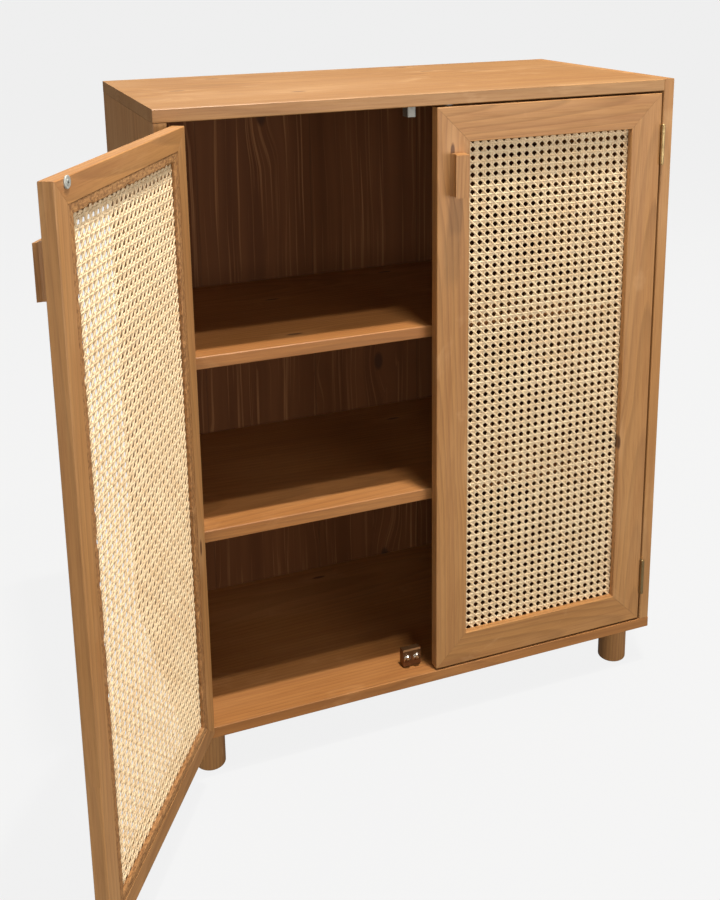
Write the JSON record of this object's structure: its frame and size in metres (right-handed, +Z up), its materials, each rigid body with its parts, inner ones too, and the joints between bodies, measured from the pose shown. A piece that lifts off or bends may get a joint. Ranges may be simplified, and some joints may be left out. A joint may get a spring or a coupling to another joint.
{
  "type": "shoe cabinet",
  "caption": "Tall pine shoe cabinet on round peg feet, with full-width shelves behind mitred doors filled with woven cane, brass butt hinges and finger-pull blocks.",
  "frame": {"origin": "on the floor, at the middle of the base of the whole object as it stands with its left door open; the middle of the case is 92 mm to its right and 168 mm behind it", "axes": "+Z up, the doors' side faces -Y, +X to the right as seen from the front"},
  "size_m": [0.9846, 0.7365, 1.005],
  "materials": {
    "case_wood": "satin, stained pine",
    "door_wood": "satin, stained pine",
    "back_wood": "satin, stained knotty pine boards",
    "bead_wood": "rough sawn, stained",
    "foot_wood": "satin, turned",
    "cane": "natural rattan cane webbing",
    "brass": "aged satin",
    "zinc": "zinc plated",
    "bronze": "antique bronze"
  },
  "bodies": {
    "case": {"back_panel": "back_wood", "bottom_panel": "case_wood", "foot_back_left": "foot_wood", "foot_back_right": "foot_wood", "foot_front_left": "foot_wood", "foot_front_right": "foot_wood", "left_ball_catch": "bronze", "left_lower_hinge_case_leaf": "brass", "left_lower_hinge_pin": "brass", "left_magnetic_catch": "zinc", "left_side_panel": "case_wood", "left_upper_hinge_case_leaf": "brass", "left_upper_hinge_pin": "brass", "lower_shelf": "case_wood", "lower_shelf_pin_back_left": "zinc", "lower_shelf_pin_back_right": "zinc", "lower_shelf_pin_front_left": "zinc", "lower_shelf_pin_front_right": "zinc", "right_ball_catch": "bronze", "right_lower_hinge_case_leaf": "brass", "right_lower_hinge_pin": "brass", "right_magnetic_catch": "zinc", "right_side_panel": "case_wood", "right_upper_hinge_case_leaf": "brass", "right_upper_hinge_pin": "brass", "top_panel": "case_wood", "upper_shelf": "case_wood", "upper_shelf_pin_back_left": "zinc", "upper_shelf_pin_back_right": "zinc", "upper_shelf_pin_front_left": "zinc", "upper_shelf_pin_front_right": "zinc"},
    "left_door": {"left_door_bottom_rail": "door_wood", "left_door_cane_bead_bottom": "bead_wood", "left_door_cane_bead_free_side": "bead_wood", "left_door_cane_bead_hinge_side": "bead_wood", "left_door_cane_bead_top": "bead_wood", "left_door_cane_panel": "cane", "left_door_finger_pull": "door_wood", "left_door_free_stile": "door_wood", "left_door_hinge_stile": "door_wood", "left_door_lower_hinge_leaf": "brass", "left_door_strike_disc": "zinc", "left_door_strike_plate": "bronze", "left_door_top_rail": "door_wood", "left_door_upper_hinge_leaf": "brass"},
    "right_door": {"right_door_bottom_rail": "door_wood", "right_door_cane_bead_bottom": "bead_wood", "right_door_cane_bead_free_side": "bead_wood", "right_door_cane_bead_hinge_side": "bead_wood", "right_door_cane_bead_top": "bead_wood", "right_door_cane_panel": "cane", "right_door_finger_pull": "door_wood", "right_door_free_stile": "door_wood", "right_door_hinge_stile": "door_wood", "right_door_lower_hinge_leaf": "brass", "right_door_strike_disc": "zinc", "right_door_strike_plate": "bronze", "right_door_top_rail": "door_wood", "right_door_upper_hinge_leaf": "brass"}
  },
  "joints": [
    {"name": "left_door_hinge", "type": "hinge", "parent": "case", "child": "left_door", "pos_m": [-0.2885, -0.036, 0.5375], "axis": [0, 0, 1], "range_deg": [-48, 122]},
    {"name": "right_door_hinge", "type": "hinge", "parent": "case", "child": "right_door", "pos_m": [0.4725, -0.036, 0.5375], "axis": [0, 0, 1], "range_deg": [0, 170]}
  ]
}
